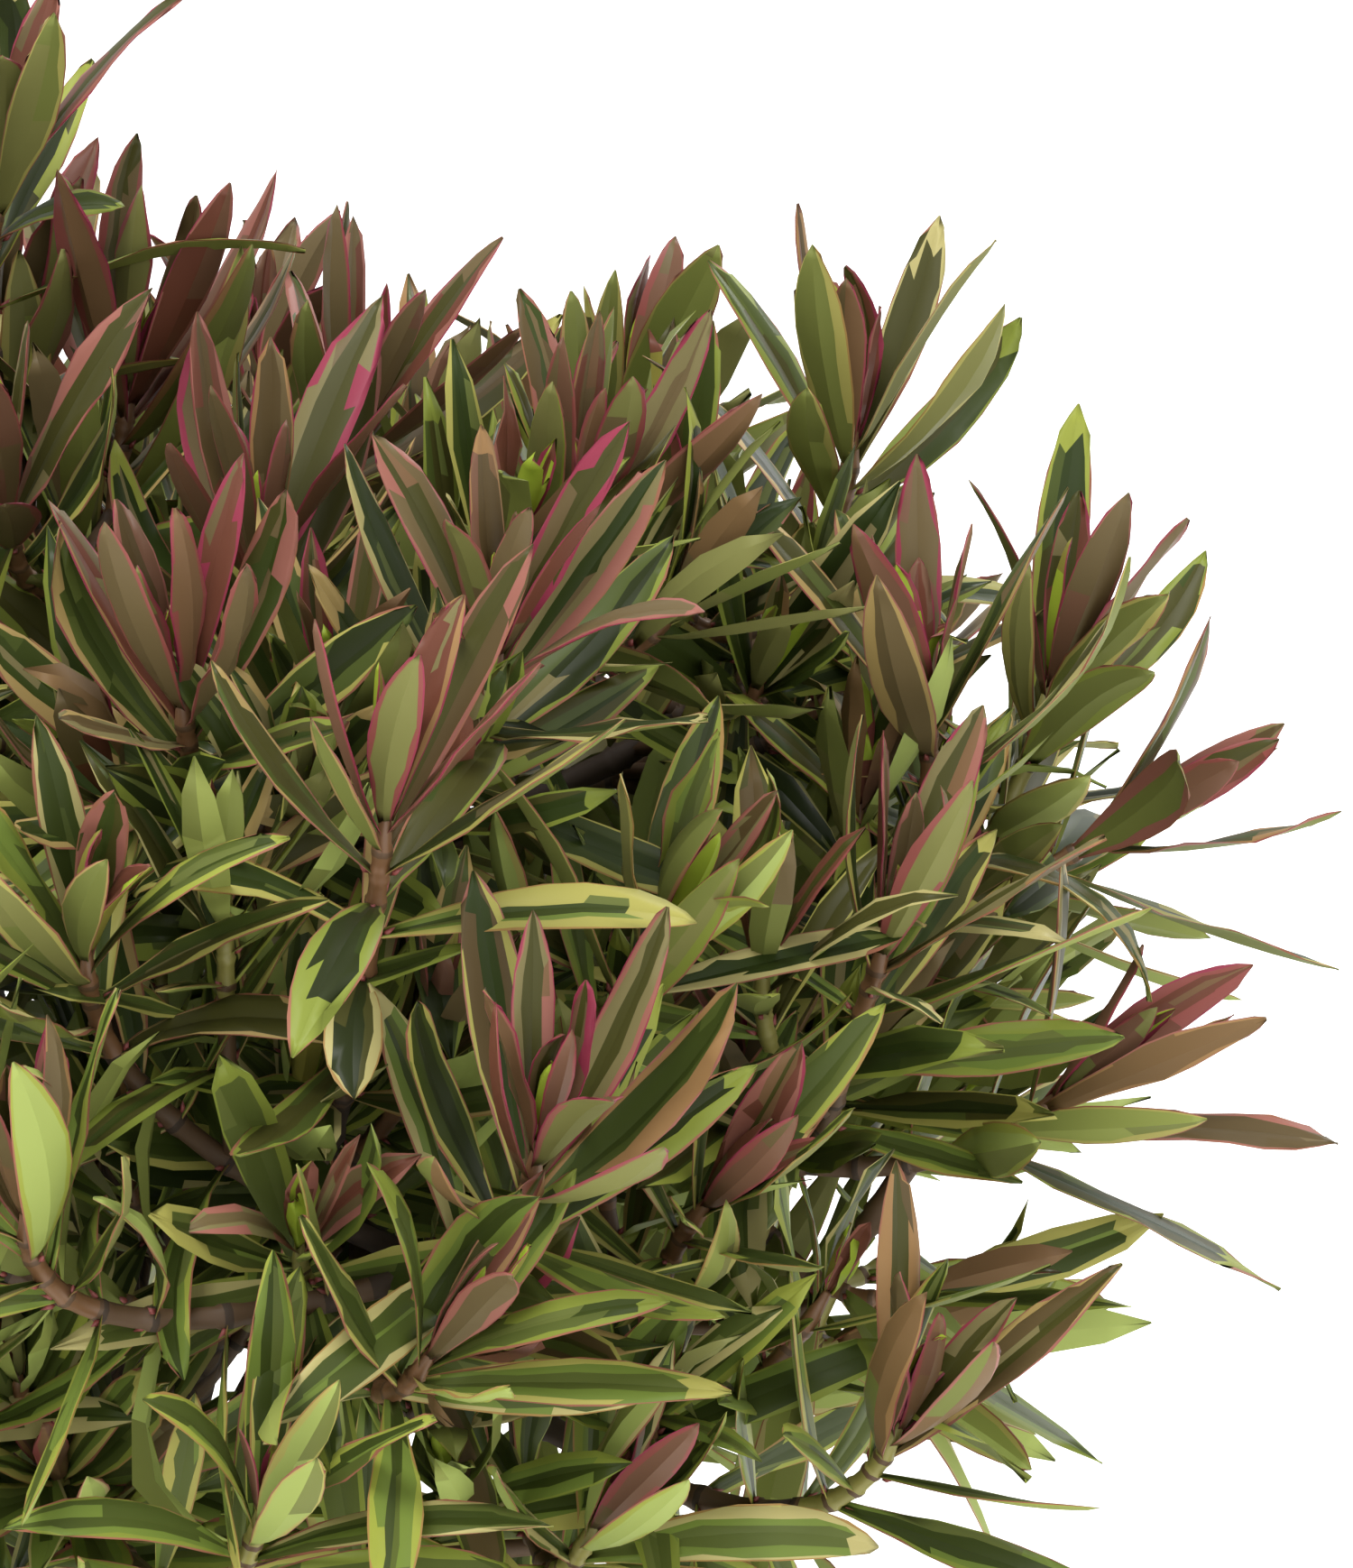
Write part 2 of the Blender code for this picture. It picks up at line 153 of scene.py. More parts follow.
bough = {
    "leaderRadius": 0.0040,
    "radius": 0.0029,
    "tipRadius": 0.0022,
    "share": 0.38,  # of the way from the heart to the crown's outline
    "rise": 1.1,
    "bend": 0.48,
    "leaderForks": (0.06, 0.30),  # the first one's share of the leader, and what the others are spread over
    "stemForks": {"low": 0.013, "middle": 0.030},
    "forkStagger": 0.011,
    # name, count, angle from straight up, first azimuth
    "rings": (("upper", 5, 41.0, 2.0), ("middle", 6, 74.0, -14.0), ("low", 6, 103.0, 16.0)),
}

# The shoots that the photo shows: angle from straight up, azimuth, millimetres in from the outline, lean to
# the right, and how young its leaves are
seenShoots = (
    (43, -7, 34, -5, 0.4),
    (60, -5, 35, 10, 0.6),
    (57, -25, 45, -10, 0.7),
    (69, -6, 35, 60, 0.4),
    (69, -37, 50, 15, 0.75),
    (81, -18, 45, 50, 0.3),
    (51, -64, 45, 5, 0.85),
    (38, -37, 58, 10, 0.65),
    (52, -86, 49, -5, 0.85),
    (62, -76, 32, 5, 0.7),
    (78, -69, 35, 5, 0.85),
    (88, -74, 40, 30, 0.5),
    (80, -95, 40, 5, 0.5),
    (97, -39, 40, 10, 0.45),
    (32, -72, 60, 0, 0.9),
    (17, -11, 24, 5, 0.85),
    (23, -110, 32, -5, 0.9),
    (5, 75, 50, 15, 0.85),
    (12, 125, 25, 10, 0.95),
    (96, -83, 35, 10, 0.1),
    (102, -58, 45, 20, 0.1),
    (41, -20, 65, -10, 0.3),
    (6, 180, 16, 12, 0.4),
)

spread = {
    "seenSpacing": 0.037,
    "lowest": 117.0,
    "count": 84,
    "scatter": 0.06,
    "inset": 0.039,
    "insetScatter": 0.007,
    "upright": 0.75,
    "wander": 0.22,
    "towards": (0.28, 0.20),  # the photo looks a little into each rosette, more so at the front and back
    "shownFront": 0.25,  # limits of the side that the photo shows
    "shownRight": -0.15,
    "behindSeen": 0.024,  # further in on the shown side, behind the seen shoots
    "boughShoots": 10,  # tried on each bough
    "sideShoots": 8,  # tried on each twig
    "openBelow": 0.12,  # fewer of them under this height
    "openShare": 0.6,
    "openFrom": 0.15,  # every second shoot is left out on the lower part that shows
    "sideSpacing": 0.019,
    "sideInset": 0.050,
    "youth": (1.2, -0.3, 0.25),  # by height, at the ground, and scatter
}


def aimed(fromUp, azimuth):
    flat = math.sin(fromUp)
    return Vector((flat * math.cos(azimuth), flat * math.sin(azimuth), math.cos(fromUp)))


def crownReach(direction):
    across = math.hypot(direction.x, direction.y) / crown["radius"]
    rise, power = direction.z / (crown["top"] - crown["heart"].z), crown["shoulderPower"]
    if direction.z < 0:
        rise, power = -direction.z / (crown["heart"].z - crown["foot"]), crown["skirtPower"]
    fromUp = math.degrees(math.acos(max(-1.0, min(1.0, direction.z))))
    dip = crown["dip"] * math.exp(-(((fromUp - crown["dipAngle"]) / crown["dipWidth"]) ** 2))
    return (across**power + rise**power) ** (-1 / power) * (1 - dip)


def curvePoint(curve, share):
    start, middle, end = curve
    return start * (1 - share) ** 2 + middle * 2 * share * (1 - share) + end * share**2


def curveHeading(curve, share):
    start, middle, end = curve
    return ((middle - start) * (1 - share) + (end - middle) * share).normalized()


def stemCentre(height):
    share = height / stem["height"]
    return Vector((stem["lean"][0] * share**1.5, stem["lean"][1] * share**1.5, height))


def boughCurve(start, direction):
    end = crown["heart"] + direction * crownReach(direction) * bough["share"]
    arriving = (direction + Vector((0, 0, bough["rise"]))).normalized()
    return start, end - arriving * (end - start).length * bough["bend"], end


def listMasses():
    masses = [{"name": "top_foliage", "ring": "top", "number": 0, "direction": Vector((0, 0, 1))}]
    for ring, count, fromUp, first in bough["rings"]:
        for index in range(count):
            direction = aimed(math.radians(fromUp), math.radians(first + 360 * index / count))
            name = f"{ring}_foliage_{index + 1}"
            masses.append({"name": name, "ring": ring, "number": index + 1, "direction": direction})
    return masses


def listShoots(masses):
    draw = random.Random(7)
    heart = crown["heart"]
    found = []
    for fromUp, azimuth, inset, lean, youth in seenShoots:
        outward = aimed(math.radians(fromUp), math.radians(azimuth))
        always, byDepth = spread["towards"]
        towards = -always - byDepth * abs(outward.y)
        heading = Vector((math.sin(math.radians(lean)), towards, math.cos(math.radians(lean))))
        found.append((heart + outward * (crownReach(outward) - inset / 1000), heading.normalized(), youth))
    seen = [bud for bud, _, _ in found]
    golden = math.pi * (3 - math.sqrt(5))
    lowest = math.cos(math.radians(spread["lowest"]))
    for index in range(spread["count"]):
        level = 1 - (index + 0.5) / spread["count"] * (1 - lowest)
        fromUp = math.acos(level) + draw.uniform(-spread["scatter"], spread["scatter"])
        azimuth = index * golden + draw.uniform(-spread["scatter"], spread["scatter"])
        outward = aimed(abs(fromUp), azimuth)
        stray = draw.uniform(-spread["insetScatter"], spread["insetScatter"])
        shown = outward.y < spread["shownFront"] and outward.x > spread["shownRight"]
        inset = spread["inset"] + (spread["behindSeen"] if shown else 0)
        bud = heart + outward * (crownReach(outward) - inset + stray)
        wander = Vector([draw.uniform(-spread["wander"], spread["wander"]) for _ in range(3)])
        leftOut = shown and outward.z < spread["openFrom"] and index % 2
        if not leftOut and all((bud - other).length > spread["seenSpacing"] for other in seen):
            found.append((bud, (outward + Vector((0, 0, spread["upright"])) + wander).normalized(), None))
    shoots = []
    for bud, heading, youth in found:
        mass = max(masses, key=lambda each: each["direction"].dot(bud - heart))
        roll = draw.uniform(0, math.pi)
        shoot = {"mass": mass["name"], "bud": bud, "heading": heading, "roll": roll, "youth": youth}
        shoots.append(shoot | {"rank": 1 if youth is None else 0})
    for shoot in shoots:
        if shoot["youth"] is None:
            byHeight, ground, scatter = spread["youth"]
            youth = shoot["bud"].z / crown["top"] * byHeight + ground + draw.uniform(-scatter, scatter)
            shoot["youth"] = min(1.0, max(0.05, youth))
    return shoots


def boughStarts(masses):
    # where each bough leaves the main stem, or the leader for the upper ring
    leaderStart = stemCentre(stem["height"] - bough["leaderRadius"])
    curves = {"top_foliage": boughCurve(leaderStart, Vector((0, 0, 1)))}
    counted = {ring: count for ring, count, _, _ in bough["rings"]}
    for mass in masses[1:]:
        stagger = (mass["number"] * 2 % counted[mass["ring"]]) / counted[mass["ring"]]
        if mass["ring"] == "upper":
            first, span = bough["leaderForks"]
            start = curvePoint(curves["top_foliage"], first + span * stagger)
        else:
            start = stemCentre(bough["stemForks"][mass["ring"]] + bough["forkStagger"] * stagger)
        curves[mass["name"]] = boughCurve(start, mass["direction"])
    return curves


twigShape = {
    "arriving": (0.75, 0.25),  # a mass's stem arrives between its shoot's heading and its bough's
    "forks": (0.12, 0.50),  # where the first twig forks, and what the others are spread over
    "bend": 0.5,
    "radius": 0.0018,
    "sideRadius": 0.0014,
    "tipRadius": 0.00125,
    "sideOnBough": (0.40, 1.0),  # between these shares of its length
    "sideOnTwig": (0.05, 0.72),
    "sideLength": (0.024, 0.048),
    "sideAim": (0.8, 0.9, 0.5, 0.45),  # ahead, sideways, outward and up
    "sideTip": (0.6, 0.8, 0.3),  # ahead, up and outward
    "sideYouth": (0.1, 0.7),
    "boughYouth": 0.1,
    "lowestBud": 0.03,
    "ridge": 0.20,
}


def growTwigs(mass, boughLine, shoots, buds, draw):
    # the mass's stem, the twigs that fork from it, then short side shoots on those and on the bough
    own = [shoot for shoot in shoots if shoot["mass"] == mass["name"]]
    own.sort(key=lambda shoot: -(shoot["bud"] - crown["heart"]).normalized().dot(mass["direction"]))
    start = boughLine[2]
    byShoot, byBough = twigShape["arriving"]
    arriving = own[0]["heading"] * byShoot + curveHeading(boughLine, 1.0) * byBough
    bend = own[0]["bud"] - arriving * (own[0]["bud"] - start).length * twigShape["bend"]
    stemLine = (start, bend, own[0]["bud"])
    grown = []

    def addTwig(curve, shoot, radius, side=False):
        grown.append({"curve": curve, "shoot": shoot, "radius": radius, "side": side})

    addTwig(stemLine, own[0], bough["tipRadius"])
    for order, shoot in enumerate(own[1:]):
        first, span = twigShape["forks"]
        fork = curvePoint(stemLine, first + span * order / max(1, len(own) - 2))
        bend = shoot["bud"] - shoot["heading"] * (shoot["bud"] - fork).length * twigShape["bend"]
        addTwig((fork, bend, shoot["bud"]), shoot, twigShape["radius"])
    carriers = [(boughLine, twigShape["sideOnBough"], spread["boughShoots"], twigShape["boughYouth"])]
    for twig in grown:
        youth = twig["shoot"]["youth"]
        carriers.append((twig["curve"], twigShape["sideOnTwig"], spread["sideShoots"], youth))
    for curve, (lowest, highest), tries, youth in carriers:
        for _ in range(tries):
            share = draw.uniform(lowest, highest)
            fork = curvePoint(curve, share)
            heading = curveHeading(curve, share)
            sideways = Vector([draw.gauss(0, 1) for _ in range(3)])
            sideways = (sideways - heading * sideways.dot(heading)).normalized()
            outward = (fork - crown["heart"]).normalized()
            ahead, aside, out, up = twigShape["sideAim"]
            aim = (heading * ahead + sideways * aside + outward * out + Vector((0, 0, up))).normalized()
            bud = fork + aim * draw.uniform(*twigShape["sideLength"])
            away = bud - crown["heart"]
            roomy = all((bud - other).length > spread["sideSpacing"] for other in buds)
            inside = away.length < crownReach(away.normalized()) - spread["sideInset"]
            wanted = bud.z > spread["openBelow"] or draw.random() > spread["openShare"]
            if roomy and inside and bud.z > twigShape["lowestBud"] and wanted:
                buds.append(bud)
                ahead, up, out = twigShape["sideTip"]
                tip = (aim * ahead + Vector((0, 0, up)) + outward * out).normalized()
                shoot = {"bud": bud, "heading": tip, "roll": draw.uniform(0, math.pi), "rank": 2}
                shoot["youth"] = youth * draw.uniform(*twigShape["sideYouth"])
                bend = bud - tip * (bud - fork).length * twigShape["bend"]
                addTwig((fork, bend, bud), shoot, twigShape["sideRadius"], True)
    return grown


# Leaves. A leaf is one closed skin of strips: rim, margin and two greens on either side of its midrib, and
# a paler underside. The lines between strips wander, and runs of a strip take the next one's colour. Leaves
# of the side shoots inside the crown have fewer strips and rows.

leafDetail = {
    "fine": {
        "rows": (0.0, 0.10, 0.24, 0.38, 0.52, 0.65, 0.77, 0.87, 0.945, 1.0),
        "strips": ("rim", "margin", "outer", "inner", "inner", "outer", "margin", "rim"),
        "beneath": (0, 1, 2, 4, 6, 7, 8),  # the lines that run on under the leaf
        "under": ("rim", "underMargin", "under", "under", "underMargin", "rim"),
        "drop": (0.4, 0.8, 1.5, 0.8, 0.4),
    },
    "plain": {
        "rows": (0.0, 0.16, 0.38, 0.60, 0.82, 1.0),
        "strips": ("margin", "outer", "inner", "inner", "outer", "margin"),
        "beneath": (0, 3, 6),
        "under": ("under", "under"),
        "drop": (1.5,),
    },
}

leafShape = {
    "taper": (1.15, 0.80),  # how quickly it widens from its root and narrows to its point
    "base": 0.22,
    "tip": 0.04,
    "rim": 0.00025,
    "thickness": 0.00050,
    "rounding": (0.55, 0.10),  # by its fold, and always
    "ripples": 13,
}

leafEdge = {
    # where the green ends, as a share of the half width
    "strayByLeaf": 0.09,
    "strayByRow": 0.04,  # added up from the root on
    "jag": 0.08,
    "range": (0.22, 0.92),
    "narrowsFrom": 0.8,
    "narrowing": 0.25,
    "innerShare": (0.30, 0.65),
    "innerJag": 0.09,
    "innerRange": (0.2, 0.8),
    "slide": 0.045,  # of corners along the leaf, in leaf lengths
}

leafPairs = {
    # for each pair below the bud: distance below it, angle from the shoot, length, length over width, chance
    "below": (0.0, 0.001, 0.0024, 0.0044, 0.0072, 0.011, 0.016, 0.022, 0.029, 0.037, 0.046, 0.056, 0.067),
    "angle": (6, 11, 17, 25, 35, 45, 53, 61, 67, 72, 76, 79, 82),
    "length": (0.013, 0.023, 0.032, 0.039, 0.044, 0.046, 0.047, 0.047, 0.046, 0.044, 0.041, 0.038, 0.035),
    "slender": (4.8, 4.9, 5.1, 5.4, 5.5, 5.5, 5.5, 5.5, 5.5, 5.5, 5.5, 5.5, 5.5),
    "chance": (1, 1, 1, 1, 1, 1, 1, 0.97, 0.94, 0.9, 0.85, 0.8, 0.7),
}

leafColours = {
    # name: colour, roughness
    "blackGreen": ((36, 43, 17), 0.40),
    "deepGreen": ((42, 53, 19), 0.40),
    "forestGreen": ((52, 62, 23), 0.40),
    "mossGreen": ((66, 76, 32), 0.42),
    "slateGreen": ((76, 85, 38), 0.44),
    # a painted grey sheen: this grey green is laid on only in the streaks and flecks
    "greyGreen": ((90, 98, 48), 0.46),
    "limeMargin": ((134, 141, 58), 0.44),
    "strawMargin": ((152, 147, 76), 0.46),
    "leafMargin": ((114, 124, 50), 0.44),
    "creamMargin": ((160, 151, 98), 0.48),
    "tanRim": ((142, 112, 64), 0.48),
    "rosyRim": ((134, 86, 66), 0.48),
    "paleUnder": ((126, 134, 67), 0.58),
    "softUnder": ((104, 110, 54), 0.58),
    "greyUnder": ((112, 112, 62), 0.58),
    "underMargin": ((150, 144, 78), 0.56),
    "freshGreen": ((98, 114, 48), 0.46),
    "freshUnder": ((140, 152, 80), 0.58),
    "burgundy": ((98, 58, 44), 0.42),
    "plum": ((106, 76, 58), 0.44),
    "mauveBrown": ((108, 82, 56), 0.48),
    "duskBrown": ((96, 82, 54), 0.46),
    "pinkMargin": ((138, 88, 76), 0.46),
    "roseMargin": ((126, 68, 62), 0.44),
    "magentaMargin": ((132, 50, 68), 0.42),
    "roseUnder": ((106, 82, 52), 0.56),
    "bronzeGreen": ((63, 62, 27), 0.44),
    "bronzeBrown": ((80, 66, 40), 0.44),
    "bronzeGrey": ((110, 102, 66), 0.48),
    "peachMargin": ((152, 130, 80), 0.48),
    "shellMargin": ((138, 106, 68), 0.48),
    "budLime": ((140, 158, 48), 0.46),
    "budOlive": ((122, 116, 50), 0.48),
}

leafKinds = {
    # each zone's colours, of which a leaf gets one, how wide its green is, how many leaves are tipped in the
    # margin's colour, and its shape
    "mature": {
        "inner": "deepGreen forestGreen blackGreen deepGreen bronzeGreen",
        "outer": "forestGreen deepGreen mossGreen forestGreen bronzeGreen",
        # the streak colours are partly the leaf's own grey-green tones and partly a painted grey sheen
        "streakAndSheen": "slateGreen greyGreen mossGreen bronzeGrey",
        "margin": "limeMargin leafMargin strawMargin leafMargin creamMargin peachMargin",
        "rim": "rosyRim tanRim rosyRim",
        "under": "paleUnder softUnder greyUnder",
        "underMargin": "underMargin leafMargin underMargin",
        "vein": "softUnder greyUnder",
        "green": 0.76,
        "tipped": 0.45,
        "broad": 1.0,
        "bend": (-28, 22),
        "fold": (0.16, 0.46),
    },
    "fresh": {
        "inner": "mossGreen forestGreen slateGreen forestGreen",
        "outer": "freshGreen mossGreen slateGreen freshGreen",
        "streakAndSheen": "slateGreen greyGreen freshGreen",
        "margin": "limeMargin strawMargin creamMargin leafMargin leafMargin",
        "rim": "tanRim rosyRim rosyRim",
        "under": "freshUnder paleUnder freshUnder",
        "underMargin": "underMargin limeMargin creamMargin",
        "vein": "softUnder paleUnder",
        "green": 0.74,
        "tipped": 0.45,
        "broad": 1.0,
        "bend": (-28, 26),
        "fold": (0.16, 0.46),
    },
    "bronze": {
        "inner": "bronzeGreen bronzeBrown forestGreen deepGreen bronzeGreen",
        "outer": "bronzeGrey mossGreen bronzeBrown bronzeGreen",
        "streakAndSheen": "bronzeGrey duskBrown slateGreen",
        "margin": "peachMargin pinkMargin strawMargin shellMargin leafMargin",
        "rim": "rosyRim pinkMargin roseMargin",
        "under": "greyUnder roseUnder softUnder duskBrown",
        "underMargin": "shellMargin pinkMargin peachMargin",
        "vein": "duskBrown softUnder",
        "green": 0.76,
        "tipped": 0.15,
        "broad": 1.04,
        "bend": (-22, 14),
        "fold": (0.18, 0.44),
    },
    "young": {
        "inner": "duskBrown bronzeGreen bronzeBrown burgundy bronzeGreen",
        "outer": "plum bronzeGrey burgundy duskBrown",
        "streakAndSheen": "bronzeGrey mauveBrown duskBrown",
        "margin": "pinkMargin roseMargin magentaMargin pinkMargin shellMargin",
        "rim": "magentaMargin roseMargin magentaMargin",
        "under": "mauveBrown duskBrown plum greyUnder burgundy",
        "underMargin": "roseMargin pinkMargin roseMargin",
        "vein": "duskBrown plum",
        "green": 0.82,
        "tipped": 0.05,
        "broad": 1.06,
        "bend": (-16, 6),
        "fold": (0.24, 0.52),
    },
    "bud": {
        "inner": "budOlive burgundy budLime",
        "outer": "budLime burgundy budLime",
        "streakAndSheen": "budLime budOlive",
        "margin": "magentaMargin pinkMargin roseMargin",
        "rim": "roseMargin magentaMargin",
        "under": "budLime budLime budOlive burgundy",
        "underMargin": "roseMargin budLime magentaMargin",
        "vein": "budOlive budLime",
        "green": 0.80,
        "tipped": 0.0,
        "broad": 1.0,
        "bend": (-10, 4),
        "fold": (0.55, 0.95),
    },
}

leafPatches = {
    # how many of the leaves have each, then its shortest and longest share of the leaf
    # streaks in the inner strips and flecks in the outer ones are partly a painted grey sheen
    "streakAndSheen": (0.50, 0.15, 0.60),
    "fleckAndSheen": (0.30, 0.10, 0.40),
    "dark": (0.50, 0.25, 0.90),
    "broad": (0.28, 0.10, 0.60),
    "thin": (0.35, 0.08, 0.35),
    "veined": (0.45, 0.30, 0.90),
}
patchFrom = (-0.35, 0.95)  # where a patch starts along the leaf
tipFrom = (0.78, 0.96)  # where a tip of the margin's colour starts

leafGloss = 0.16  # specular level

zoneOrder = ("rim", "margin", "outer", "inner", "streakAndSheen", "under", "underMargin", "vein")
colourIndex = {name: place for place, name in enumerate(leafColours)}


def leafTemplate(detail):
    # faces of one leaf: rows of strips above, then rows of broader ones below that share its outline
    rows, wide, beneath = len(detail["rows"]), len(detail["strips"]) + 1, detail["beneath"]
    top = lambda row, column: row * wide + column

    def below(row, place):
        if place in (0, len(beneath) - 1) or row in (0, rows - 1):
            return top(row, beneath[place])
        return rows * wide + (row - 1) * (len(beneath) - 2) + place - 1

    faces = []
    for row in range(rows - 1):
        for column in range(wide - 1):
            ahead = (top(row + 1, column + 1), top(row + 1, column))
            faces.append((top(row, column), top(row, column + 1), *ahead))
    for row in range(rows - 1):
        for place in range(len(beneath) - 1):
            between = range(beneath[place] + 1, beneath[place + 1])
            face = [below(row, place), below(row + 1, place)]
            face += [top(row + 1, column) for column in between if row == rows - 2]
            face += [below(row + 1, place + 1), below(row, place + 1)]
            face += [top(row, column) for column in reversed(between) if row == 0]
            faces.append(tuple(face))
    return faces


def leafProfile(share):
    root, point = leafShape["taper"]
    widest = root / (root + point)
    swell = share**root * (1 - share) ** point / (widest**root * (1 - widest) ** point)
    return np.maximum(leafShape["base"] * (1 - share) ** 3 + swell, leafShape["tip"])


def leafCentres(leaves, rows):
    # each leaf's middle line and the directions square to it, row by row
    get = lambda key: np.array([leaf[key] for leaf in leaves], float)
    along, facing = get("along"), get("facing")
    side = np.cross(along, facing)
    wanted = ("length", "bend", "hook", "sickle", "twist")
    length, bend, hook, sickle, twist = (get(key)[:, None] for key in wanted)
    angle = bend * rows + hook * rows**2
    swing = sickle * rows
    spread3 = lambda vector, amount: vector[:, None, :] * amount[:, :, None]
    heading = spread3(along, np.cos(angle)) - spread3(facing, np.sin(angle)) + spread3(side, np.sin(swing))
    heading /= np.linalg.norm(heading, axis=2, keepdims=True)
    steps = (heading[:, 1:] + heading[:, :-1]) / 2 * (np.diff(rows) * length)[:, :, None]
    centre = get("root")[:, None, :] + np.concatenate([steps[:, :1] * 0, np.cumsum(steps, axis=1)], axis=1)
    normal = spread3(facing, np.cos(angle)) + spread3(along, np.sin(angle))
    across = np.cross(heading, normal)
    across /= np.linalg.norm(across, axis=2, keepdims=True)
    normal = np.cross(across, heading)
    turn = (twist * rows)[:, :, None]
    turned = across * np.cos(turn) + normal * np.sin(turn)
    return centre, heading, turned, normal * np.cos(turn) - across * np.sin(turn)


def buildLeaves(leaves, detail, seed):
    # points, faces and paints of many leaves
    dice = np.random.default_rng(seed)
    rows, strips, beneath = np.array(detail["rows"]), detail["strips"], list(detail["beneath"])
    count, deep, wide = len(leaves), len(rows), len(strips) + 1
    half = wide // 2
    centre, heading, across, normal = leafCentres(leaves, rows)
    get = lambda key: np.array([leaf[key] for leaf in leaves], float)[:, None]
    breadth = leafProfile(rows)[None, :] * get("width") / 2
    byKind = lambda key: np.array([[leafKinds[leaf["kind"]][key]] for leaf in leaves])
    green = byKind("green")

    # where the strips meet, as shares of the half width, on the left and the right
    sides = []
    for _ in range(2):
        wander = np.cumsum(dice.normal(0, leafEdge["strayByRow"], (count, deep)), axis=1)
        edge = green + dice.normal(0, leafEdge["strayByLeaf"], (count, 1)) + wander
        edge = edge + dice.normal(0, leafEdge["jag"], (count, deep))
        nearTip = np.clip(rows - leafEdge["narrowsFrom"], 0, 1)
        edge = edge - leafEdge["narrowing"] * nearTip * dice.uniform(0, 3, (count, 1))
        edge = np.clip(edge, *leafEdge["range"])
        share = dice.uniform(*leafEdge["innerShare"], (count, 1))
        share = np.clip(share + dice.normal(0, leafEdge["innerJag"], (count, deep)), *leafEdge["innerRange"])
        rim = np.maximum(1 - leafShape["rim"] / np.maximum(breadth, 1e-5), edge * 0.3 + 0.7)
        lines = [np.zeros((count, deep)), edge * share, edge, rim, np.ones((count, deep))]
        if "rim" not in strips:
            del lines[3]
        sides.append(lines)
    left, right = sides
    columns = np.stack([-line for line in left[:0:-1]] + right, axis=2)

    # the blade is folded along its midrib, with each half rounded over and its edges wavy
    fold, wave, phase = (get(key)[:, :, None] for key in ("fold", "wave", "phase"))
    broad = breadth[:, :, None]

    def placed(place, drop):
        size = np.abs(place)
        byFold, always = leafShape["rounding"]
        rounding = (fold * byFold + always) * size**2.5
        ripple = wave * np.sin(rows[None, :, None] * leafShape["ripples"] + phase + np.sign(place) * 1.3)
        over = (broad * (fold * size - rounding) + ripple * size**2 - drop)[..., None]
        flat = (place * broad)[..., None]
        return centre[:, :, None, :] + across[:, :, None, :] * flat + normal[:, :, None, :] * over

    upper = placed(columns, 0)
    slide = dice.uniform(-leafEdge["slide"], leafEdge["slide"], columns.shape) * get("length")[:, :, None]
    slide[:, (0, 1, -2, -1)] *= np.array([0, 0.6, 0.5, 0])[None, :, None]
    slide[:, :, (0, half, wide - 1)] = 0
    upper += heading[:, :, None, :] * slide[..., None]
    thick = leafShape["thickness"] * (0.35 + 0.65 * breadth / breadth.max(axis=1, keepdims=True))
    under = placed(columns[:, :, beneath[1:-1]], thick[:, :, None] * np.array(detail["drop"]))[:, 1:-1]
    points = np.concatenate([upper.reshape(count, -1, 3), under.reshape(count, -1, 3)], axis=1)

    # colours: one choice of each zone per leaf, then patches and streaks that run on into the next strip; the
    # streaks and flecks are partly the leaf's own grey-green tones and partly a painted grey sheen
    pick = {zone: np.empty(count, int) for zone in zoneOrder}
    for place, leaf in enumerate(leaves):
        kind = leafKinds[leaf["kind"]]
        for zone in zoneOrder:
            names = kind[zone].split()
            pick[zone][place] = colourIndex[names[dice.integers(len(names))]]
    spans = deep - 1
    chosen = lambda zones: np.stack([np.repeat(pick[zone][:, None], spans, axis=1) for zone in zones], axis=2)
    paints = chosen(strips)
    middle = (rows[1:] + rows[:-1]) / 2

    def stretch(chance, shortest, longest):
        # a run of rows on some of the leaves
        start = dice.uniform(*patchFrom, (count, 1))
        run = (middle > start) & (middle < start + dice.uniform(shortest, longest, (count, 1)))
        return run & (dice.random((count, 1)) < chance)

    def recolour(grid, strip, where, zone):
        grid[:, :, strip] = np.where(where, pick[zone][:, None], grid[:, :, strip])

    for marginStrip, outerStrip, innerStrip in ((half - 3, half - 2, half - 1), (half + 2, half + 1, half)):
        recolour(paints, outerStrip, stretch(*leafPatches["dark"]), "inner")
        # streaks and flecks: partly the leaf's own grey-green tones, partly a painted grey sheen
        recolour(paints, innerStrip, stretch(*leafPatches["streakAndSheen"]), "streakAndSheen")
        recolour(paints, outerStrip, stretch(*leafPatches["fleckAndSheen"]), "streakAndSheen")
        recolour(paints, outerStrip, stretch(*leafPatches["broad"]), "margin")
        recolour(paints, marginStrip, stretch(*leafPatches["thin"]), "outer")
    tipped = dice.random((count, 1)) < byKind("tipped")
    tipped = tipped & (middle > dice.uniform(*tipFrom, (count, 1)))
    for strip in range(half - 2, half + 2):
        recolour(paints, strip, tipped, "margin")
    lower = chosen(detail["under"])
    for strip, zone in enumerate(detail["under"]):
        if zone == "underMargin":
            recolour(lower, strip, stretch(*leafPatches["thin"]), "under")
        elif zone == "under":
            recolour(lower, strip, stretch(*leafPatches["veined"]), "vein")
    paints = np.concatenate([paints.reshape(count, -1), lower.reshape(count, -1)], axis=1)

    each, template = points.shape[1], leafTemplate(detail)
    faces = [tuple(corner + leaf * each for corner in face) for leaf in range(count) for face in template]
    return points.reshape(-1, 3), faces, paints.reshape(-1)


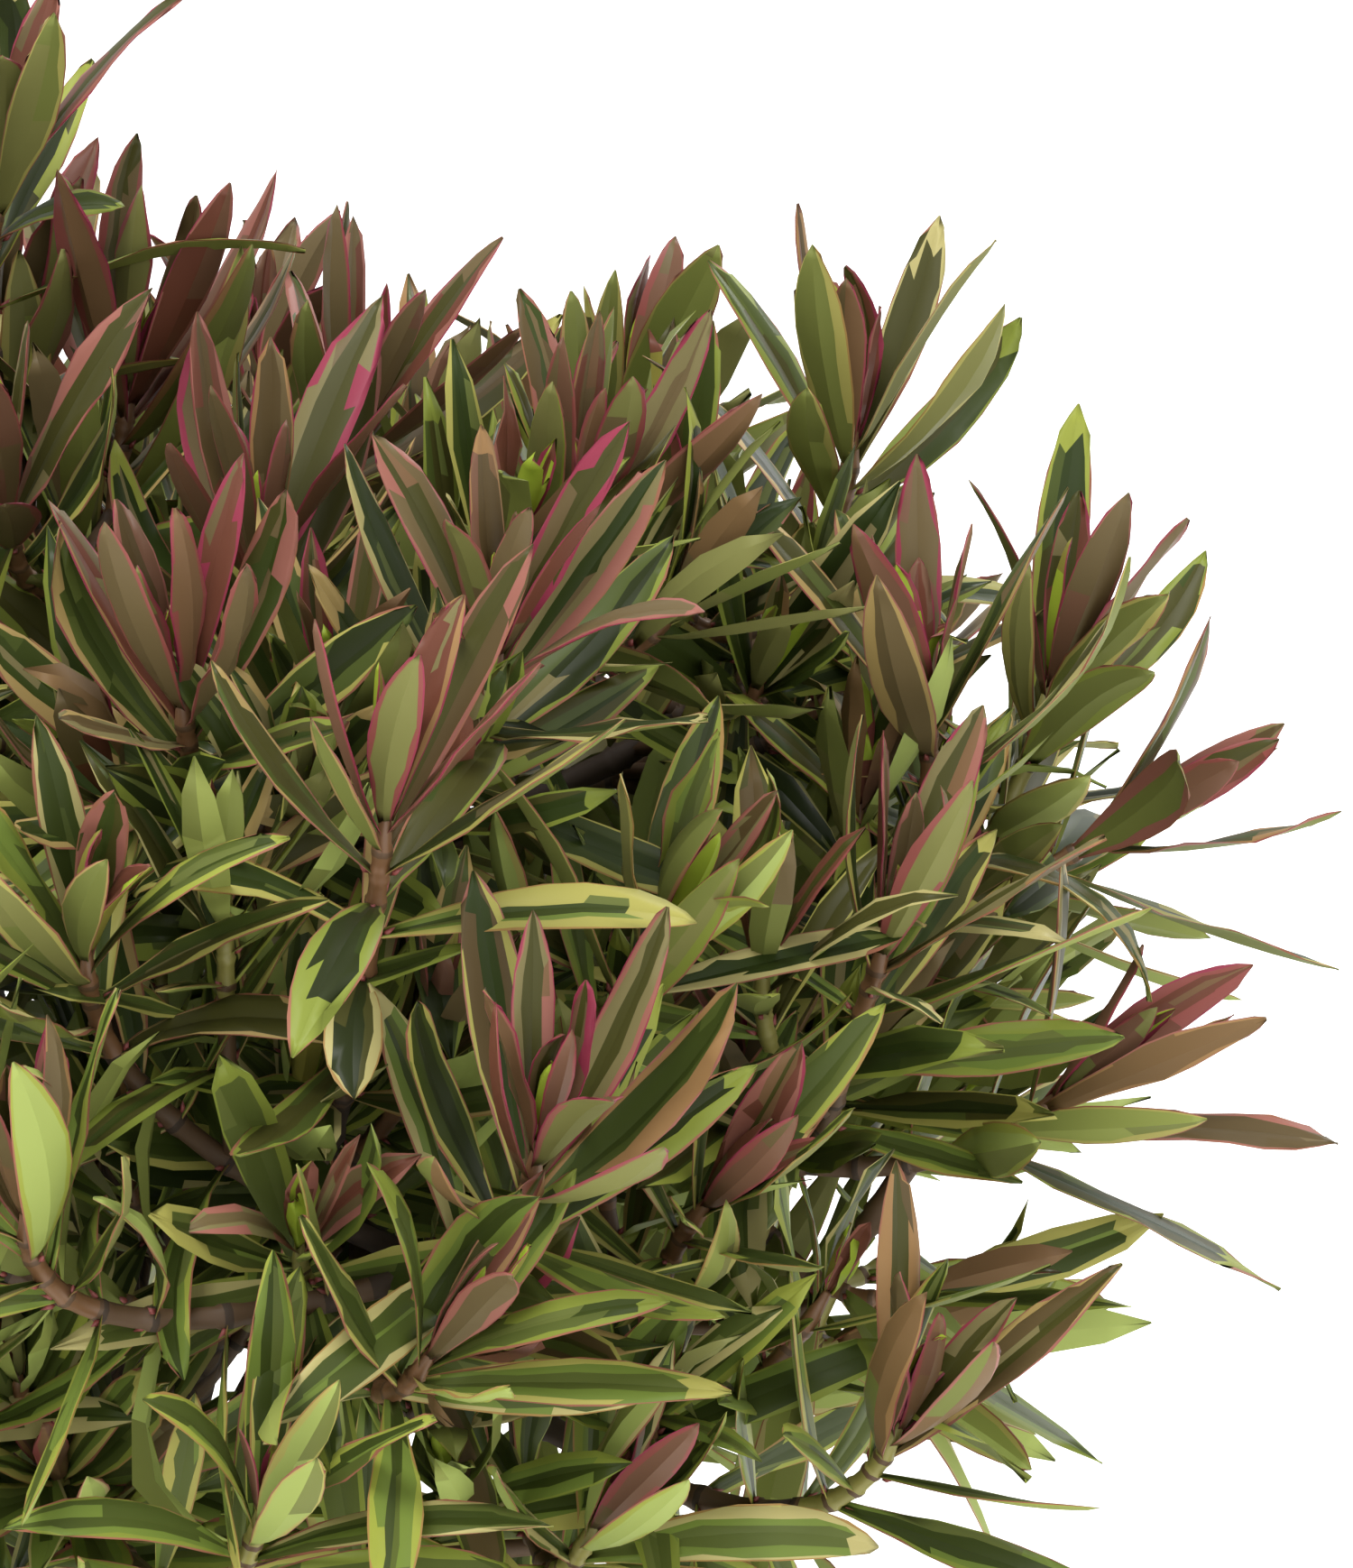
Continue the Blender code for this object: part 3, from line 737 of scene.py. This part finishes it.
def creaseLeaves(piece, detail, firstPoint, pointCount):
    # the midrib and the outline stay sharp
    deep, wide, low = len(detail["rows"]), len(detail["strips"]) + 1, len(detail["beneath"]) - 2
    each = deep * wide + (deep - 2) * low
    ends = np.empty(len(piece.data.edges) * 2, int)
    piece.data.edges.foreach_get("vertices", ends)
    ends = ends.reshape(-1, 2) - firstPoint
    own = ((ends >= 0) & (ends < pointCount)).all(axis=1)
    ends = ends % each
    onTop = (ends < deep * wide).all(axis=1)
    column = ends[:, 0] % wide
    creased = onTop & (column == ends[:, 1] % wide) & np.isin(column, (0, wide // 2, wide - 1))
    ends = ends - deep * wide
    creased |= (ends >= 0).all(axis=1) & (ends % low == low // 2).all(axis=1)
    return creased & own


def addLeaves(name, leaves, seed):
    points, faces, paints, parts = [], [], [], []
    known = 0
    for detail in ("fine", "plain"):
        some = [leaf for leaf in leaves if leaf["detail"] == detail]
        if some:
            made, madeFaces, madePaints = buildLeaves(some, leafDetail[detail], seed)
            parts.append((detail, known, len(made)))
            points.append(made)
            faces += [tuple(corner + known for corner in face) for face in madeFaces]
            paints.append(madePaints)
            known += len(made)
    piece = joinedMesh(name, np.concatenate(points), faces, np.concatenate(paints), leafPaints)
    creased = [creaseLeaves(piece, leafDetail[detail], first, count) for detail, first, count in parts]
    sharp = piece.data.attributes.new("sharp_edge", "BOOLEAN", "EDGE")
    sharp.data.foreach_set("value", np.any(creased, axis=0))
    return piece


def joinedMesh(name, points, faces, paints, palette):
    mesh = bpy.data.meshes.new(name)
    mesh.from_pydata(points.tolist(), [], faces)
    used = sorted(set(int(value) for value in paints))
    for value in used:
        mesh.materials.append(palette[value])
    place = {value: order for order, value in enumerate(used)}
    mesh.polygons.foreach_set("material_index", [place[int(value)] for value in paints])
    mesh.polygons.foreach_set("use_smooth", [True] * len(faces))
    mesh.update()
    piece = bpy.data.objects.new(name, mesh)
    bpy.context.scene.collection.objects.link(piece)
    return piece


# where the photo shows sky through the crown and over its dip: millimetres to the right of the stem and
# above the ground, on the plane through the stem, and the gap's radius
skyGaps = (
    (133, 101, 6), (122, 104, 4), (120, 92, 4), (110, 103, 4), (89, 97, 3),
    (93, 59, 4), (69, 67, 3), (78, 51, 3), (126, 51, 3), (137, 61, 3), (147, 74, 4), (21, 79, 3),
    (136, 208, 5), (130, 204, 4), (135, 181, 4),
    (161, 174, 3), (168, 162, 3), (160, 153, 3), (159, 133, 3), (166, 128, 3),
    (62, 252, 12), (78, 258, 8), (49, 254, 7),
)

leafPast = (0.016, -0.008, -0.010)  # how far a leaf may pass the crown's outline, by its shoot's rank

cellSize = 0.003
filled = {}  # cells that leaves stand in, with the shoot that each leaf grows on


def inSkyGap(spots):
    eye = np.array(view["place"])
    seen = eye + (spots - eye) * (eye[1] / (eye[1] - spots[:, 1]))[:, None]
    right, height, radius = np.array(skyGaps).T / 1000
    return (np.hypot(seen[:, :1] - right, seen[:, 2:] - height) < radius).any()


def leafCells(leaf):
    rows = np.array(leafDetail["fine"]["rows"])
    centre, _, across, _ = leafCentres([leaf], rows)
    middles = centre[0, 3:]
    half = leafProfile(rows)[3:, None] * leaf["width"] / 2 * 0.7
    spots = np.concatenate([middles, middles + across[0, 3:] * half, middles - across[0, 3:] * half])
    return {tuple(cell) for cell in np.floor(spots / cellSize).astype(int)}, centre[0, -1], spots


leafGrowth = {
    "leafy": 0.86,  # share of a twig that may have leaves
    "vigour": (0.92, 1.05),  # leaf sizes of a shoot
    "sideVigour": 0.9,
    "youngPairs": (0.3, 4.2),  # always, and by the shoot's youth
    "bronzePairs": (0.4, 0.6),
    "freshBelow": 0.18,  # lower leaves are paler and greener
    "kinked": (0.86, 0.05, 0.09),  # straight, short and hooked ones among the older leaves
    "kink": (30, 85),
    "tries": 5,
    "around": (0.12, 0.10),  # scatter round the shoot, and more at each try
    "angle": (0.86, 1.14),
    "length": (0.88, 1.08),
    "shorter": 0.05,  # at each try
    "slender": (0.9, 1.12),
    "root": 0.0006,
    "sag": 24,
    "hook": 25,
    "sickle": 10,
    "twist": (7, 18),
    "wave": 0.00036,
    "lowest": 0.006,
    "overTop": 0.006,
    "outside": 20,  # counts as so many crowded cells
    "crowded": (5, 2),  # cells that a young and an older leaf may share with other shoots
}


def growLeaves(twig, shootNumber, draw):
    shoot, curve = twig["shoot"], twig["curve"]
    reach = (curve[2] - curve[0]).length
    own = leafGrowth
    vigour = draw.uniform(*own["vigour"]) * (own["sideVigour"] if twig["side"] else 1.0)
    always, byYouth = own["youngPairs"]
    youngPairs = round(always + byYouth * shoot["youth"] * vigour)
    always, byYouth = own["bronzePairs"]
    bronzePairs = (draw.random() < always + byYouth * shoot["youth"]) + (draw.random() < shoot["youth"])
    grown = []
    for order, below in enumerate(leafPairs["below"]):
        if below > reach * own["leafy"]:
            break
        share = 1 - below / reach
        tangent = curveHeading(curve, share)
        middle = curvePoint(curve, share)
        first = tangent.orthogonal().normalized()
        second = tangent.cross(first)
        for half in (0, 1):
            if draw.random() > leafPairs["chance"][order]:
                continue
            kind = "mature"
            if order == 0 or (order == 1 and draw.random() < 0.4):
                kind = "bud"
            elif order <= youngPairs + (draw.random() < 0.2):
                kind = "young"
            elif order <= youngPairs + bronzePairs:
                kind = "bronze"
            if kind == "mature" and draw.random() < (own["freshBelow"] - middle.z) / own["freshBelow"] * 2:
                kind = "fresh"
            about = leafKinds[kind]
            odd = draw.choices(("", "short", "hooked"), own["kinked"])[0] if order > 4 else ""
            turned = draw.uniform(*own["kink"])
            best = None
            for attempt in range(own["tries"]):
                stray = draw.gauss(0, own["around"][0] + own["around"][1] * attempt)
                around = shoot["roll"] + order * math.pi / 2 + half * math.pi + stray
                outward = first * math.cos(around) + second * math.sin(around)
                angle = leafPairs["angle"][order] * draw.uniform(*own["angle"])
                lean = math.radians(angle + draw.uniform(-4, 4))
                along = tangent * math.cos(lean) + outward * math.sin(lean)
                length = leafPairs["length"][order] * vigour * draw.uniform(*own["length"])
                length = length * (1 - own["shorter"] * attempt)
                facing = tangent * math.sin(lean) - outward * math.cos(lean)
                sagging = max(0.0, facing.z) * (1 - max(0.0, along.z)) * draw.uniform(0, own["sag"])
                slender = leafPairs["slender"][order] * draw.uniform(*own["slender"])
                leaf = {
                    "root": middle + outward * own["root"],
                    "along": along,
                    "facing": facing,
                    "length": length,
                    "width": length / slender * about["broad"],
                    "bend": math.radians(draw.uniform(*about["bend"]) - sagging),
                    "hook": math.radians(draw.gauss(0, own["hook"])),
                    "sickle": math.radians(draw.gauss(0, own["sickle"])),
                    "twist": math.radians(draw.gauss(0, own["twist"][order > 3])),
                    "fold": draw.uniform(*about["fold"]),
                    "wave": abs(draw.gauss(0, own["wave"])),
                    "phase": draw.uniform(0, 6.28),
                    "kind": kind,
                    "detail": "plain" if twig["side"] else "fine",
                }
                if odd == "short":
                    leaf |= {"length": length * 0.5, "width": length * 0.17, "bend": math.radians(turned)}
                elif odd == "hooked":
                    leaf |= {"bend": math.radians(turned * 0.6), "hook": math.radians(turned * 0.8)}
                cells, tip, spots = leafCells(leaf)
                crowding = sum(filled.get(cell, shootNumber) != shootNumber for cell in cells)
                away = Vector(tip) - crown["heart"]
                past = away.length - crownReach(away.normalized())
                tooHigh = not own["lowest"] < tip[2] < crown["top"] + own["overTop"]
                if tooHigh or past > leafPast[shoot["rank"]]:
                    crowding += own["outside"]
                if (shoot["rank"] or order > 4) and inSkyGap(spots):
                    crowding += own["outside"]
                if best is None or crowding < best[0]:
                    best = (crowding, leaf, cells)
                if crowding == 0:
                    break
            if best[0] <= own["crowded"][order > 4]:
                if order > 4:
                    root = middle + outward * twig["radius"] * 0.8
                    twig.setdefault("axils", []).append((root, (tangent + outward * 0.9).normalized()))
                grown.append(best[1])
                filled.update({cell: shootNumber for cell in best[2]})
    return grown


# Twigs, as tubes with a ridge at each pair of leaves

twigColours = {
    "shootGreen": ((128, 122, 62), 0.50),
    "shootRed": ((106, 74, 46), 0.50),
    "twigBrown": ((80, 58, 36), 0.60),
    "oldBrown": ((54, 40, 27), 0.75),
    "axilPink": ((128, 62, 58), 0.50),
}
axilBud = {"length": 0.0026, "radius": 0.00055}


def twigTube(twig, draw):
    curve, shoot = twig["curve"], twig["shoot"]
    reach = (curve[2] - curve[0]).length
    stops = {0.0: 0, 1.0: 0}
    for below in leafPairs["below"][4:]:
        share = 1 - below / reach
        if share > 0.1:
            for move, swell in ((-0.0016, 0), (-0.0004, 1), (0.0006, 1), (0.0012, 0)):
                stops[min(0.999, max(0.001, share + move / reach))] = swell
    for step in range(1, 8):
        stops.setdefault(step / 8, 0)
    shares = sorted(stops)
    centres = np.array([curvePoint(curve, share) for share in shares])
    swells = np.array([stops[share] for share in shares])
    places = np.array(shares)
    radii = twig["radius"] + (twigShape["tipRadius"] - twig["radius"]) * places
    radii = radii * (1 + twigShape["ridge"] * swells)
    radii[-1] *= 0.5
    sides = 6 if twig["side"] else 8
    heading = np.gradient(centres, axis=0)
    heading /= np.linalg.norm(heading, axis=1, keepdims=True)
    side = np.cross(heading, np.array([0.31, 0.87, 0.17]))
    side /= np.linalg.norm(side, axis=1, keepdims=True)
    other = np.cross(heading, side)
    turns = np.arange(sides) / sides * 2 * math.pi
    ring = side[:, None, :] * np.cos(turns)[None, :, None] + other[:, None, :] * np.sin(turns)[None, :, None]
    points = centres[:, None, :] + ring * radii[:, None, None]
    faces, paints = [tuple(range(sides))[::-1]], [3]
    fresh = "shootGreen" if draw.random() < 0.3 else "shootRed"
    for row in range(len(shares) - 1):
        below = (1 - (shares[row] + shares[row + 1]) / 2) * reach
        young = below < 0.018 + 0.02 * shoot["youth"]
        colour = fresh if young else "twigBrown" if below < 0.06 else "oldBrown"
        if swells[row] and swells[row + 1]:
            colour = "twigBrown" if young else "oldBrown"
        for step in range(sides):
            after = (step + 1) % sides
            a, b = row * sides + step, row * sides + after
            faces.append((a, b, b + sides, a + sides))
            paints.append(list(twigColours).index(colour))
    faces.append(tuple(range((len(shares) - 1) * sides, len(shares) * sides)))
    paints.append(1)
    return points.reshape(-1, 3), faces, paints


def axilSpindle(root, along):
    # the small bud between a leaf and its twig
    side = along.orthogonal().normalized()
    other = along.cross(side)
    middle = root + along * axilBud["length"] * 0.4
    ring = [middle + turned * axilBud["radius"] for turned in (side, other, -side, -other)]
    faces = [(0, 1 + (step + 1) % 4, 1 + step) for step in range(4)]
    faces += [(5, 1 + step, 1 + (step + 1) % 4) for step in range(4)]
    return np.array([root, *ring, root + along * axilBud["length"]]), faces, [4] * 8


def buildTwigs(name, twigs, draw):
    points, faces, paints = [], [], []
    known = 0
    grown = [twigTube(twig, draw) for twig in twigs]
    grown += [axilSpindle(*axil) for twig in twigs for axil in twig.get("axils", ())]
    for made, madeFaces, madePaints in grown:
        points.append(made)
        faces += [tuple(corner + known for corner in face) for face in madeFaces]
        paints += madePaints
        known += len(made)
    return joinedMesh(name, np.concatenate(points), faces, np.array(paints), twigPaints)


# Bark

class Wire:
    # a shader socket that Python's own signs can reckon with
    def __init__(self, tree, socket):
        self.tree = tree
        self.socket = socket

    def maths(self, operation, first, second):
        return addNode(self.tree, "ShaderNodeMath", {"operation": operation}, {0: first, 1: second})

    def __add__(self, other):
        return self.maths("ADD", self, other)

    def __sub__(self, other):
        return self.maths("SUBTRACT", self, other)

    def __rsub__(self, other):
        return self.maths("SUBTRACT", other, self)

    def __mul__(self, other):
        return self.maths("MULTIPLY", self, other)

    __radd__ = __add__
    __rmul__ = __mul__


def addNode(tree, kind, settings, inputs, output=0):
    # settings first, then each input's value or link
    made = tree.nodes.new(kind)
    for name, value in settings.items():
        setattr(made, name, value)
    for name, value in inputs.items():
        if isinstance(value, Wire):
            tree.links.new(value.socket, made.inputs[name])
        else:
            made.inputs[name].default_value = value
    return Wire(tree, made.outputs[output])


def barkMaterial(name, look):
    made = paint(name, look["dark"], 0.8, 0.25)
    tree = made.node_tree
    surface = tree.nodes["Principled BSDF"]
    place = addNode(tree, "ShaderNodeTexCoord", {}, {}, "Object")
    drawn = addNode(tree, "ShaderNodeMapping", {}, {"Vector": place, "Scale": (1, 1, look["stretch"])})

    def noise(scale, detail):
        return addNode(tree, "ShaderNodeTexNoise", {}, {"Vector": drawn, "Scale": scale, "Detail": detail})

    def mix(amount, first, second):
        mixing = {"data_type": "RGBA", "clamp_factor": True}
        return addNode(tree, "ShaderNodeMix", mixing, {0: amount, 6: first, 7: second}, 2)

    patches, grain = noise(look["patches"], 3), noise(look["grain"], 5)
    toEdge = {"feature": "DISTANCE_TO_EDGE"}
    cracks = addNode(tree, "ShaderNodeTexVoronoi", toEdge, {"Vector": drawn, "Scale": look["cracks"]})
    split = addNode(tree, "ShaderNodeClamp", {}, {"Value": cracks * 6})
    dark, light, moss = ((*linear(look[part]), 1) for part in ("dark", "light", "moss"))
    # a near black for the painted shade in the cracks
    crackShade = (*(channel * 0.35 for channel in dark[:3]), 1)
    colour = mix(patches * 1.4 + grain * 0.7 - 0.55, dark, light)
    colour = mix((patches - 0.5) * look["mossy"], colour, moss)
    # painted shade: the cracks, which the bump sinks, are darkened almost to black
    colour = mix(split * 0.8 + 0.2, crackShade, colour)
    rough = grain * 0.3 + 0.6
    height = split * 0.6 + grain * 0.4
    bump = addNode(tree, "ShaderNodeBump", {}, {"Height": height, "Strength": 0.7, "Distance": 0.0006})
    for name, wire in (("Base Color", colour), ("Roughness", rough), ("Normal", bump)):
        tree.links.new(wire.socket, surface.inputs[name])
    return made


trunkLook = {
    "dark": (52, 40, 28),
    "light": (112, 92, 66),
    "moss": (84, 84, 50),
    "mossy": 1.2,
    "stretch": 0.35,
    "patches": 160,
    "grain": 900,
    "cracks": 420,
}

boughLook = {
    "dark": (46, 33, 22),
    "light": (80, 60, 40),
    "moss": (72, 68, 38),
    "mossy": 1.0,
    "stretch": 0.5,
    "patches": 150,
    "grain": 1100,
    "cracks": 260,
}


# Main stem and boughs: a circle extruded along its middle line, turned and narrowed at each step, then
# smoothed and roughened

limbShape = {
    "trunkSides": 14,
    "trunkRelief": 0.0010,
    "boughSides": 10,
    "boughRuns": 14,
    "boughRelief": 0.0005,
    "scar": 0.10,  # how much a leaf scar swells a bough
    "scarEvery": 3,
}


def extrudeLimb(name, centres, radii, sides):
    ahead = centres[1:] + centres[-1:]
    behind = centres[:1] + centres[:-1]
    headings = [(after - before).normalized() for after, before in zip(ahead, behind)]
    if name == "trunk":
        headings[0] = Vector((0, 0, 1))
    turned = headings[0].to_track_quat("Z", "Y").to_euler()
    bpy.ops.mesh.primitive_circle_add(
        vertices=sides, radius=radii[0], fill_type="NGON", location=centres[0], rotation=turned
    )
    limb = bpy.context.object
    limb.name = name
    bpy.ops.object.transform_apply(location=True, rotation=True, scale=True)
    bpy.ops.object.mode_set(mode="EDIT")
    bpy.ops.mesh.select_all(action="SELECT")
    for step in range(1, len(centres)):
        here = centres[step]
        bpy.ops.mesh.extrude_region_move(TRANSFORM_OT_translate={"value": here - centres[step - 1]})
        hinge = headings[step - 1].cross(headings[step])
        if hinge.length > 1e-6:
            # with no window the turn goes the other way
            bpy.ops.transform.rotate(
                value=-headings[step - 1].angle(headings[step]),
                orient_axis="Z",
                orient_matrix=hinge.to_track_quat("Z", "Y").to_matrix(),
                center_override=here,
            )
        size = radii[step] / radii[step - 1]
        bpy.ops.transform.resize(value=(size, size, size), center_override=here)
    bpy.ops.mesh.select_all(action="SELECT")
    bpy.ops.mesh.normals_make_consistent(inside=False)
    bpy.ops.object.mode_set(mode="OBJECT")
    return limb


def roughen(limb, relief, grain, levels):
    smooth = limb.modifiers.new("smooth", "SUBSURF")
    smooth.levels = smooth.render_levels = levels
    ridges = bpy.data.textures.new("ridges", "CLOUDS")
    ridges.noise_scale = grain
    ridges.noise_depth = 3
    relieved = limb.modifiers.new("relief", "DISPLACE")
    relieved.texture = ridges
    relieved.texture_coords = "LOCAL"
    relieved.strength = relief
    relieved.mid_level = 0.5
    for change in ("smooth", "relief"):
        bpy.ops.object.modifier_apply(modifier=change)
    bpy.ops.object.shade_smooth()


def stemRadius(height):
    taper = stem["radius"] + (stem["topRadius"] - stem["radius"]) * height / stem["height"]
    return taper + (stem["flareRadius"] - stem["radius"]) * max(0.0, 1 - height / stem["flareHeight"]) ** 2


def addTrunk():
    heights = [0.0, 0.002, 0.004, 0.007, 0.011, 0.016, 0.022, 0.028, 0.034, 0.040, 0.046, stem["height"]]
    centres = [stemCentre(height) for height in heights]
    radii = [stemRadius(height) for height in heights]
    centres[0].z = -0.002  # cut level with the ground below
    trunk = extrudeLimb("trunk", centres, radii, limbShape["trunkSides"])
    roughen(trunk, limbShape["trunkRelief"], 0.006, 2)
    bpy.ops.object.mode_set(mode="EDIT")
    bpy.ops.mesh.select_all(action="SELECT")
    bpy.ops.mesh.bisect(plane_co=(0, 0, 0.0002), plane_no=(0, 0, 1), use_fill=True, clear_inner=True)
    bpy.ops.object.mode_set(mode="OBJECT")
    trunk.data.materials.append(barkMaterial("trunkBark", trunkLook))
    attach(trunk, "root")
    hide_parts("main_stem")


def addBoughs(masses, boughLines):
    bark = barkMaterial("boughBark", boughLook)
    runs = limbShape["boughRuns"]
    for mass in masses:
        line = boughLines[mass["name"]]
        isLeader = mass["ring"] == "top"
        node = "leader" if isLeader else mass["name"].replace("foliage", "bough")
        radius = bough["leaderRadius"] if isLeader else bough["radius"]
        centres = [curvePoint(line, step / runs) for step in range(runs + 1)]
        radii = [radius + (bough["tipRadius"] - radius) * step / runs for step in range(runs + 1)]
        for step in range(1, runs, limbShape["scarEvery"]):
            radii[step] *= 1 + limbShape["scar"]
        limb = extrudeLimb(f"{node}_bark", centres, radii, limbShape["boughSides"])
        roughen(limb, limbShape["boughRelief"], 0.004, 1)
        limb.data.materials.append(bark)
        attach(limb, "root")
        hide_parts(node)


# Making everything

addCamera()
leafPaints = [paint(name, *values, leafGloss) for name, values in leafColours.items()]
twigPaints = [paint(name, *values) for name, values in twigColours.items()]
addStudio()
masses = listMasses()
shoots = listShoots(masses)
boughLines = boughStarts(masses)
addTrunk()
addBoughs(masses, boughLines)
print("stem and boughs made")

buds = [shoot["bud"] for shoot in shoots]
growth = {}
for mass in masses:
    draw = random.Random("twigs " + mass["name"])
    growth[mass["name"]] = growTwigs(mass, boughLines[mass["name"]], shoots, buds, draw)
twigCount = sum(len(twigs) for twigs in growth.values())
print("twigs:", twigCount)

everyTwig = [twig for twigs in growth.values() for twig in twigs]
for number, twig in enumerate(sorted(everyTwig, key=lambda twig: twig["shoot"]["rank"])):
    twig["leaves"] = growLeaves(twig, number, random.Random(1000 + number))

leafCount = 0
for place, mass in enumerate(masses):
    draw = random.Random("wood " + mass["name"])
    leaves = [leaf for twig in growth[mass["name"]] for leaf in twig["leaves"]]
    leafCount += len(leaves)
    short = mass["name"].replace("_foliage", "")
    foliage = addLeaves(f"{short}_leaves", leaves, 100 + place)
    wood = buildTwigs(f"{short}_twigs", growth[mass["name"]], draw)
    for piece in (foliage, wood):
        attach(piece, "root")
        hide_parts(mass["name"])
print("leaves:", leafCount)
